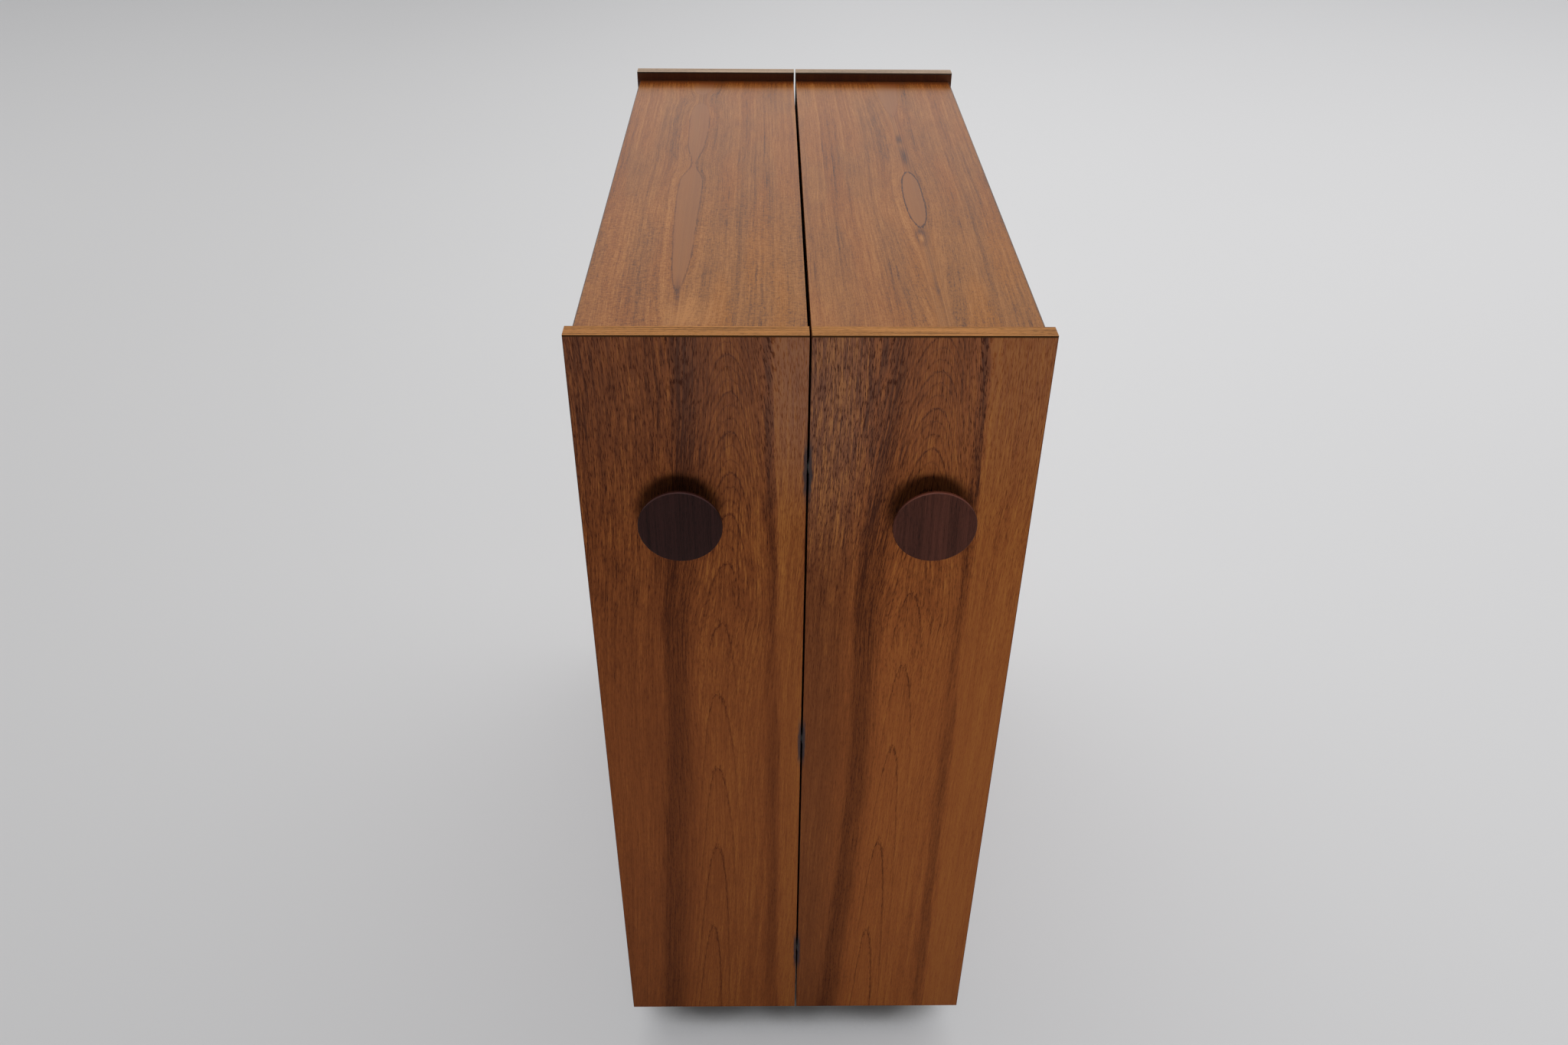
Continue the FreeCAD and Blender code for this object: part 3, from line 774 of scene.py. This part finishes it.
def rosewood(half, shade):
    """Dark rosewood of one knob, with upright grain and a painted glint on the rim at the top."""
    finish = Finish(f"rosewood_{half}", roughness=0.24, specular=0.22)
    across = finish.x + finish.y * 0.5
    bend = (noise(finish.z, across, size=(40, 60), seed=71) - 0.5) * 3.0
    tone = fibres(across + bend, finish.z, 73) * 2.6 + 0.55 - pores(across, finish.z, 79) * 0.3
    wood = shades(tone, tinted(shade, 0.45), shade, tinted(shade, 1.5))
    low, high = [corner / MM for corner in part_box(f"{half}_knob")]
    centre = (low + high) / 2
    reach = ((finish.x - centre.x) ** 2.0 + (finish.z - centre.z) ** 2.0).then("SQRT")
    at_rim = near(reach, high.x - centre.x - 0.3, 0.8)
    # Painted glint on the upper rim.
    painted_rim_glint = at_rim * smooth(finish.z - centre.z, *PAINTED_GLINT_RISE)
    finish.paint(blend(painted_rim_glint, wood, tinted(shade, 3.2)))
    return finish


def plywood(shade):
    """Thin pale plies, for the splines."""
    finish = Finish("birch_plywood", roughness=0.7)
    plies = noise(finish.x, finish.z, size=(2, 2), seed=83)
    finish.paint(blend(plies, tinted(shade, 0.8), shade))
    return finish


# Metal and plastic.

def metal(name, shade, roughness, seed, tarnish):
    """Worn metal: clouds of tarnish and fine brushing."""
    finish = Finish(name, roughness, metallic=1.0)
    clouds = noise(finish.x + finish.y, finish.z, size=(6, 6), seed=seed, detail=4.0)
    finish.paint(blend(clouds, tinted(shade, tarnish), shade), clouds * 0.25 + (roughness - 0.1))
    finish.emboss(noise(finish.x + finish.y, finish.z, size=(0.4, 4), seed=seed + 1), 0.01)
    return finish


def nylon(shade):
    """Moulded plastic with a fine grain and a dusty tread."""
    finish = Finish("black_nylon", roughness=0.5)
    speckle = noise(finish.x + finish.y, finish.z, size=(0.5, 0.5), seed=91, detail=3.0)
    finish.paint(blend(speckle, shade, tinted(shade, 2.2)), speckle * 0.2 + 0.4)
    finish.emboss(speckle, 0.02)
    return finish


# Shapes.

def piece_from(mesh, name, body, finish=None):
    """A piece made of a mesh, riding on a body."""
    piece = bpy.data.objects.new(name, mesh)
    bpy.context.scene.collection.objects.link(piece)
    if finish is not None:
        mesh.materials.append(finish.material)
    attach(piece, body)
    return piece


def turned(name, outline, steps, axis, centre):
    """A mesh turned about an axis from (radius, distance along the axis) points in millimetres."""
    shape = bmesh.new()
    along = Vector(axis)
    outwards = along.orthogonal().normalized()
    points = [shape.verts.new((outwards * radius + along * distance) * MM) for radius, distance in outline]
    edges = [shape.edges.new(pair) for pair in zip(points, points[1:])]
    bmesh.ops.spin(
        shape, geom=points + edges, cent=(0, 0, 0), axis=along, angle=math.tau, steps=steps, use_merge=True)
    bmesh.ops.remove_doubles(shape, verts=shape.verts, dist=1e-6)
    bmesh.ops.recalc_face_normals(shape, faces=shape.faces)
    shape.transform(Matrix.Translation(centre))
    mesh = bpy.data.meshes.new(name)
    shape.to_mesh(mesh)
    shape.free()
    crease(mesh)
    return mesh


def crease(mesh):
    """Shade a mesh smooth but for its sharp corners."""
    mesh.shade_smooth()
    mesh.set_sharp_from_angle(angle=math.radians(CREASE_ANGLE))


def corner_arc(radius, distance, size, steps):
    """Points of a rounded outer corner, from the flat end at the distance to the rim."""
    points = []
    for step in range(steps + 1):
        turn = math.pi / 2 * step / steps
        points.append((radius - size + size * math.sin(turn), distance + size - size * math.cos(turn)))
    return points


def knob_outline(radius, depth, rounding):
    """Outline of a knob: flat face at 0, short rim, hollow flank and foot at the depth."""
    outline = [(0.0, 0.0), (radius * 0.5, 0.0)] + corner_arc(radius, 0.0, rounding, steps=6)
    outline.append((radius, KNOB_RIM))
    for step in range(1, FLANK_STEPS + 1):
        share = step / FLANK_STEPS
        inwards = radius + (KNOB_FOOT_RADIUS - radius) * share
        outline.append((inwards, KNOB_RIM + (depth - KNOB_FOOT_HEIGHT - KNOB_RIM) * share ** KNOB_HOLLOW))
    return outline + [(KNOB_FOOT_RADIUS, depth), (0.0, depth)]


def wheel_outline(radius, half_width):
    """Closed outline of a wheel: bore, hub, thin web and rounded tread."""
    side = [
        (WHEEL_BORE, -half_width), (WHEEL_HUB, -half_width), (WHEEL_HUB + WHEEL_DRAFT, -WHEEL_WEB),
        (WHEEL_RIM, -WHEEL_WEB), (WHEEL_RIM + WHEEL_DRAFT, -half_width)]
    side += corner_arc(radius, -half_width, TREAD_ROUNDING, steps=4)
    return side + [(reach, -distance) for reach, distance in reversed(side)] + [side[0]]


# Geometry nodes for what repeats.

def new_group(name, inputs):
    """A geometry node group with its inputs by name; gives the tree and its input values."""
    tree = bpy.data.node_groups.new(name, "GeometryNodeTree")
    for label, kind in inputs.items():
        tree.interface.new_socket(label, in_out="INPUT", socket_type=f"NodeSocket{kind}")
    tree.interface.new_socket("Result", in_out="OUTPUT", socket_type="NodeSocketGeometry")
    start = tree.nodes.new("NodeGroupInput")
    return tree, {label: Value(start.outputs[label]) for label in inputs}


def add_node(tree, kind, inputs, **settings):
    """The first output of a new node, its inputs plugged by name or number."""
    node = tree.nodes.new(kind)
    for name, setting in settings.items():
        setattr(node, name, setting)
    for name, term in inputs.items():
        plug(node.inputs[name], term)
    outputs = [output for output in node.outputs if output.enabled]
    return Value(outputs[0])


def finish_group(tree, instances, material):
    """End a geometry node group: instances made real, with their material."""
    real = add_node(tree, "GeometryNodeRealizeInstances", {0: instances})
    dressed = add_node(tree, "GeometryNodeSetMaterial", {"Geometry": real, "Material": material})
    plug(tree.nodes.new("NodeGroupOutput").inputs[0], dressed)


def spun_about(tree, axis, angle):
    """A rotation by an angle about an axis."""
    return add_node(tree, "FunctionNodeAxisAngleToRotation", {"Axis": axis, "Angle": angle})


def slotted(tree, given):
    """A round head, with a slot cut across it where the slot has a width."""
    head = add_node(tree, "GeometryNodeMeshCone", {
        "Vertices": HEAD_SIDES, "Radius Top": given["Crown radius"], "Radius Bottom": given["Head radius"],
        "Depth": given["Head height"]})
    size = add_node(tree, "ShaderNodeCombineXYZ", {
        0: given["Head radius"] * 3.0, 1: given["Slot width"], 2: given["Slot depth"] * 2.0})
    bar = add_node(tree, "GeometryNodeMeshCube", {"Size": size})
    lift = add_node(tree, "ShaderNodeCombineXYZ", {2: given["Head height"]})
    bar = add_node(tree, "GeometryNodeTransform", {"Geometry": bar, "Translation": lift})
    cut = add_node(tree, "GeometryNodeMeshBoolean", {"Mesh 1": head, "Mesh 2": bar}, operation="DIFFERENCE")
    has_slot = given["Slot width"].then("GREATER_THAN", 0.01 * MM)
    return add_node(tree, "GeometryNodeSwitch", {0: has_slot, 1: head, 2: cut}, input_type="GEOMETRY")


def head_group(name):
    """Geometry nodes that set a fastener head, slotted or plain, on every point of a mesh."""
    tree, given = new_group(name, {
        "Places": "Geometry", "Head radius": "Float", "Crown radius": "Float",
        "Head height": "Float", "Slot width": "Float", "Slot depth": "Float", "Facing": "Vector",
        "Seed": "Int", "Finish": "Material"})
    head = slotted(tree, given)
    aim = add_node(tree, "FunctionNodeAlignRotationToVector", {"Vector": given["Facing"]}, axis="Z")
    twist = add_node(tree, "FunctionNodeRandomValue", {"Seed": given["Seed"], "Max": 1.0}, data_type="FLOAT")
    turn = spun_about(tree, (0, 0, 1), twist * math.pi)
    rotation = add_node(
        tree, "FunctionNodeRotateRotation", {"Rotation": aim, "Rotate By": turn}, rotation_space="LOCAL")
    heads = add_node(tree, "GeometryNodeInstanceOnPoints", {
        "Points": given["Places"], "Instance": head, "Rotation": rotation})
    finish_group(tree, heads, given["Finish"])
    return tree


def rib_group(name):
    """Geometry nodes that add moulded ribs, like spokes, to a wheel that turns about X."""
    tree, given = new_group(name, {
        "Wheel": "Geometry", "Ribs": "Int", "Rib size": "Vector", "Rib radius": "Float", "Centre": "Vector",
        "Finish": "Material"})
    points = add_node(tree, "GeometryNodePoints", {"Count": given["Ribs"]})
    share = add_node(tree, "GeometryNodeInputIndex", {}) / given["Ribs"]
    rotation = spun_about(tree, (1, 0, 0), share * math.tau)
    rib = add_node(tree, "GeometryNodeMeshCube", {"Size": given["Rib size"]})
    reach = add_node(tree, "ShaderNodeCombineXYZ", {2: given["Rib radius"]})
    rib = add_node(tree, "GeometryNodeTransform", {"Geometry": rib, "Translation": reach})
    ribs = add_node(tree, "GeometryNodeInstanceOnPoints", {
        "Points": points, "Instance": rib, "Rotation": rotation})
    ribs = add_node(tree, "GeometryNodeTransform", {"Geometry": ribs, "Translation": given["Centre"]})
    both = tree.nodes.new("GeometryNodeJoinGeometry")
    plug(both.inputs[0], ribs)
    plug(both.inputs[0], given["Wheel"])
    finish_group(tree, Value(both.outputs[0]), given["Finish"])
    return tree


def grow(piece, group_name, make_group, settings):
    """Run a geometry node group, made when first needed, on a piece and keep the result as its mesh."""
    tree = bpy.data.node_groups.get(group_name) or make_group(group_name)
    modifier = piece.modifiers.new(group_name, "NODES")
    modifier.node_group = tree
    for socket in tree.interface.items_tree:
        if socket.in_out == "INPUT" and socket.name in settings:
            modifier[socket.identifier] = settings[socket.name]
    depsgraph = bpy.context.evaluated_depsgraph_get()
    mesh = bpy.data.meshes.new_from_object(piece.evaluated_get(depsgraph))
    piece.modifiers.clear()
    piece.data = mesh
    crease(mesh)


def fasteners(name, places, head, facing, finish, body):
    """Fastener heads at places in metres, all facing one way; the name's length seeds their turns."""
    mesh = bpy.data.meshes.new(name)
    mesh.from_pydata(places, [], [])
    piece = piece_from(mesh, name, body)
    grow(piece, "Fastener heads", head_group, {
        **head, "Facing": facing, "Seed": len(name), "Finish": finish.material})


def screw_head(radius, height):
    """Sizes of a slotted head."""
    return {"Head radius": radius, "Crown radius": radius * 0.86, "Head height": height,
            "Slot width": radius * 0.28, "Slot depth": height * 0.6}


def rivet_head(radius, height):
    """Sizes of a plain peened head."""
    return {"Head radius": radius, "Crown radius": radius * 0.6, "Head height": height,
            "Slot width": 0.0, "Slot depth": 0.0}


def level_runs(name, gap=60 * MM):
    """Lowest and highest points of the separate parts of a node that stand one above another."""
    heights = sorted(vertex.co.z for vertex in NODES[name].data.vertices)
    runs = [[heights[0], heights[0]]]
    for height in heights:
        if height - runs[-1][1] > gap:
            runs.append([height, height])
        runs[-1][1] = height
    return runs


# Operators.

class CABINET_OT_fronts(bpy.types.Operator):
    """Give the front panels and the strips above them their veneer"""

    bl_idname = "cabinet.fronts"
    bl_label = "Veneer the fronts"

    def execute(self, context):
        for half in HALVES:
            veneer = front_veneer(half, context.scene.cabinet_wood)
            veneer.dress(f"{half}_front_panel", f"{half}_front_lipping")
        return {"FINISHED"}


class CABINET_OT_tops(bpy.types.Operator):
    """Give the recessed tops their veneer"""

    bl_idname = "cabinet.tops"
    bl_label = "Veneer the tops"

    def execute(self, context):
        for half in HALVES:
            top_veneer(half, context.scene.cabinet_wood).dress(f"{half}_top")
        return {"FINISHED"}


class CABINET_OT_case(bpy.types.Operator):
    """Finish the other boards, shelves, rails and splines"""

    bl_idname = "cabinet.case"
    bl_label = "Finish the case"

    def execute(self, context):
        colours = context.scene.cabinet_wood
        upright = upright_teak(colours)
        level = level_teak(colours)
        plies = plywood(colours.plywood)
        for half in HALVES:
            upright.dress(f"{half}_back_panel", f"{half}_back_lipping", f"{half}_side")
            level.dress(*[f"{half}_{board}" for board in LEVEL_BOARDS])
            plies.dress(f"{half}_splines")
        return {"FINISHED"}


class CABINET_OT_knobs(bpy.types.Operator):
    """Turn the two knobs"""

    bl_idname = "cabinet.knobs"
    bl_label = "Turn the knobs"

    def execute(self, context):
        look = context.scene.cabinet_fittings
        for half in HALVES:
            low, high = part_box(f"{half}_knob")
            radius = (high.x - low.x) / 2 / MM
            outline = knob_outline(radius, (high.y - low.y) / MM, look.knob_round / MM)
            centre = Vector(((low.x + high.x) / 2, low.y, (low.z + high.z) / 2))
            mesh = turned(f"{half}_turned_knob", outline, look.knob_steps, (0, 1, 0), centre)
            finish = rosewood(half, getattr(context.scene.cabinet_wood, f"rosewood_{half}"))
            knob = piece_from(mesh, mesh.name, f"{half}_half", finish)
            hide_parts(f"{half}_knob")
        return {"FINISHED"}


class CABINET_OT_hinges(bpy.types.Operator):
    """Finish the hinges in brass and put in their screws"""

    bl_idname = "cabinet.hinges"
    bl_label = "Fit the hinges"

    def execute(self, context):
        look = context.scene.cabinet_fittings
        brass = metal("aged_brass", look.brass, roughness=0.35, seed=121, tarnish=0.6)
        brass.dress("hinge_pins", "left_hinge_leaves", "right_hinge_leaves")
        head = screw_head(look.hinge_screw_radius, THIN_HEAD)
        for half, way in zip(HALVES, (1, -1)):
            leaves = f"{half}_hinge_leaves"
            face = -way * (LEAF_FACE + SCREW_SEAT)
            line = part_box(leaves)[0].y + HINGE_SCREW_INSET
            places = [(face, line, low + (high - low) * share)
                      for low, high in level_runs(leaves) for share in HINGE_SCREW_SHARES]
            fasteners(f"{half}_hinge_screws", places, head, (way, 0, 0), brass, f"{half}_half")
        return {"FINISHED"}


class CABINET_OT_catches(bpy.types.Operator):
    """Finish the magnets, the strikes and the knobs' screws, and put in the strikes' screws"""

    bl_idname = "cabinet.catches"
    bl_label = "Fit the catches"

    def execute(self, context):
        look = context.scene.cabinet_fittings
        nickel = metal("dull_nickel", look.nickel, roughness=0.55, seed=131, tarnish=0.6)
        nickel.dress("catch_magnets", "catch_strikes")
        steel = metal("steel_screw", look.zinc, roughness=0.35, seed=137, tarnish=0.7)
        steel.dress("left_knob_screw", "right_knob_screw")
        low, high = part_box("catch_strikes")
        places = [(low.x + SCREW_SEAT, (low.y + high.y) / 2, (bottom + top) / 2)
                  for bottom, top in level_runs("catch_strikes")]
        head = screw_head(look.strike_screw_radius, THIN_HEAD)
        fasteners("strike_screws", places, head, (-1, 0, 0), steel, "right_half")
        return {"FINISHED"}


class CABINET_OT_castors(bpy.types.Operator):
    """Finish the castors, and make their wheels, screws and rivets"""

    bl_idname = "cabinet.castors"
    bl_label = "Fit the castors"

    def execute(self, context):
        look = context.scene.cabinet_fittings
        zinc = metal("zinc_plate", look.zinc, roughness=0.38, seed=141, tarnish=0.72)
        tyre = nylon(look.nylon)
        for half in HALVES:
            castors = [f"{half}_{spot}_castor" for spot in SPOTS]
            for castor in castors:
                zinc.dress(f"{castor}_fork", f"{castor}_axle")
                make_wheel(castor, look, tyre)
                rivet_axle(castor, look, zinc)
            screw_plates(half, castors, look, zinc)
        return {"FINISHED"}


def make_wheel(castor, look, tyre):
    """A moulded wheel with a hub, a thin web, ribs and a rounded tread."""
    low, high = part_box(f"{castor}_wheel")
    centre = (low + high) / 2
    radius = (high.z - low.z) / 2
    half_width = (high.x - low.x) / 2
    name = f"{castor}_moulded_wheel"
    outline = wheel_outline(radius / MM, half_width / MM)
    mesh = turned(name, outline, look.wheel_steps, (1, 0, 0), centre)
    wheel = piece_from(mesh, name, f"{castor}_roller", tyre)
    rib_size = Vector(((half_width - RIB_INSET * MM) * 2, RIB_BREADTH * MM, RIB_LENGTH * MM))
    grow(wheel, "Wheel ribs", rib_group, {
        "Ribs": look.wheel_ribs, "Rib size": rib_size, "Rib radius": RIB_MIDDLE * MM, "Centre": centre,
        "Finish": tyre.material})
    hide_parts(f"{castor}_wheel")


def rivet_axle(castor, look, zinc):
    """Peened heads on both ends of a castor's axle."""
    low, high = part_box(f"{castor}_axle")
    centre = (low + high) / 2
    cheek = CHEEK_REACH - SCREW_SEAT
    head = rivet_head(look.rivet_radius, RIVET_HEIGHT)
    for side, way in (("left", -1), ("right", 1)):
        place = (centre.x + way * cheek, centre.y, centre.z)
        fasteners(f"{castor}_{side}_rivet", [place], head, (way, 0, 0), zinc, f"{castor}_swivel")


def screw_plates(half, castors, look, zinc):
    """The castor plates of one half, with a screw in each corner."""
    plates = f"{half}_castor_plates"
    zinc.dress(plates)
    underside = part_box(plates)[1].z - PLATE_THICKNESS + SCREW_SEAT
    places = []
    for castor in castors:
        kingpin = Vector(JOINTS[f"{castor}_turn"]["pos_m"])
        for side in (-PLATE_SCREW_REACH, PLATE_SCREW_REACH):
            for end in (-PLATE_SCREW_REACH, PLATE_SCREW_REACH):
                places.append((kingpin.x + side, kingpin.y + end, underside))
    head = screw_head(look.plate_screw_radius, PLATE_HEAD)
    fasteners(f"{half}_castor_screws", places, head, (0, 0, -1), zinc, f"{half}_half")


class CABINET_OT_stage(bpy.types.Operator):
    """Set the floor, the lamps and the camera"""

    bl_idname = "cabinet.stage"
    bl_label = "Set the stage"

    def execute(self, context):
        look = context.scene.cabinet_stage
        lay_floor(look)
        light_world(context.scene, look)
        for name, lamp in LAMPS.items():
            hang_lamp(f"{name}_lamp", getattr(look, name), **lamp)
        place_camera(context.scene, look)
        context.scene.view_settings.view_transform = "Standard"
        return {"FINISHED"}


def lay_floor(look):
    """A plain pale floor."""
    mesh = bpy.data.meshes.new("floor")
    corners = [(FLOOR_REACH * x, FLOOR_REACH * y, 0) for x, y in ((-1, -1), (1, -1), (1, 1), (-1, 1))]
    mesh.from_pydata(corners, [], [(0, 1, 2, 3)])
    mesh.materials.append(studio_floor(look).material)
    floor = bpy.data.objects.new("floor", mesh)
    bpy.context.scene.collection.objects.link(floor)


def studio_floor(look):
    """The floor's finish. It looks paler to the camera alone, but not in the cabinet's shadow."""
    finish = Finish("studio_floor", roughness=0.6, specular=0.2)
    clouds = noise(finish.x, finish.y, size=(900, 900), seed=151)
    finish.paint(blend(clouds, tinted(look.floor, 0.97), look.floor))
    open_floor = finish.tree.nodes.new("ShaderNodeAmbientOcclusion")
    open_floor.samples = SHADOW_RAYS
    open_floor.inputs["Distance"].default_value = SHADOW_REACH
    unshaded = smooth(Value(open_floor.outputs["AO"]), 0.38, 0.7)
    # Painted light: the floor looks paler towards the right.
    towards_right = smooth(finish.x, -1800.0, 700.0) * 0.3 + 0.72
    seen = Value(finish.tree.nodes.new("ShaderNodeLightPath").outputs["Is Camera Ray"])
    plug(finish.shader.inputs["Emission Color"], look.backdrop)
    plug(finish.shader.inputs["Emission Strength"], seen * towards_right * unshaded * look.floor_lift)
    return finish


def light_world(scene, look):
    """Soft light from all sides, and a pale backdrop where it is seen or reflected."""
    scene.world = bpy.data.worlds.new("studio")
    scene.world.use_nodes = True
    tree = scene.world.node_tree
    rays = tree.nodes.new("ShaderNodeLightPath").outputs
    seen = Value(rays["Is Camera Ray"]) + Value(rays["Is Glossy Ray"]) + Value(rays["Is Transmission Ray"])
    background = tree.nodes["Background"]
    plug(background.inputs["Color"], blend(seen.then("MINIMUM", 1.0), (look.sky,) * 3, look.backdrop))


def hang_lamp(name, power, size, place, target, spread=180, glints=False):
    """A rectangular lamp that faces a target; the spread of its light is in degrees."""
    lamp = bpy.data.lights.new(name, "AREA")
    lamp.energy = power
    lamp.shape = "RECTANGLE"
    lamp.size, lamp.size_y = size
    lamp.spread = math.radians(spread)
    holder = bpy.data.objects.new(name, lamp)
    holder.location = place
    holder.rotation_euler = (Vector(place) - Vector(target)).to_track_quat("Z", "Y").to_euler()
    holder.visible_camera = False
    holder.visible_glossy = glints
    bpy.context.scene.collection.objects.link(holder)


def place_camera(scene, look):
    """The camera, in front of the cabinet and above it."""
    data = bpy.data.cameras.new("camera")
    data.sensor_fit = "HORIZONTAL"
    data.lens = look.lens
    camera = bpy.data.objects.new("camera", data)
    turn = Matrix.Rotation(-look.heading, 4, "Z")
    tilt = Matrix.Rotation(math.pi / 2 - look.pitch, 4, "X")
    lean = Matrix.Rotation(look.roll, 4, "Z")
    camera.matrix_world = Matrix.Translation(look.eye) @ turn @ tilt @ lean
    scene.collection.objects.link(camera)
    scene.camera = camera


OPERATORS = (
    CABINET_OT_stage, CABINET_OT_fronts, CABINET_OT_tops, CABINET_OT_case, CABINET_OT_knobs,
    CABINET_OT_hinges, CABINET_OT_catches, CABINET_OT_castors,
)
SETTINGS = {"cabinet_wood": WoodColours, "cabinet_fittings": FittingLook, "cabinet_stage": StageLook}


class CABINET_PT_tools(bpy.types.Panel):
    """The steps that finish the cabinet, in order"""

    bl_idname = "CABINET_PT_tools"
    bl_label = "Drinks cabinet"
    bl_space_type = "VIEW_3D"
    bl_region_type = "UI"
    bl_category = "Cabinet"

    def draw(self, context):
        for step in OPERATORS:
            self.layout.operator(step.bl_idname)
        for group_name in SETTINGS:
            settings = getattr(context.scene, group_name)
            column = self.layout.column()
            for name in settings.__annotations__:
                column.prop(settings, name)


def register():
    """Register the settings, the steps and the panel."""
    for kind in (*SETTINGS.values(), *OPERATORS, CABINET_PT_tools):
        bpy.utils.register_class(kind)
    for name, kind in SETTINGS.items():
        setattr(bpy.types.Scene, name, PointerProperty(type=kind))


def unregister():
    """Undo register."""
    for name in SETTINGS:
        delattr(bpy.types.Scene, name)
    for kind in (CABINET_PT_tools, *reversed(OPERATORS), *SETTINGS.values()):
        bpy.utils.unregister_class(kind)


def main():
    """Register the settings and run every step in order."""
    register()
    for step in OPERATORS:
        group, name = step.bl_idname.split(".")
        getattr(getattr(bpy.ops, group), name)()


if __name__ == "__main__":
    main()
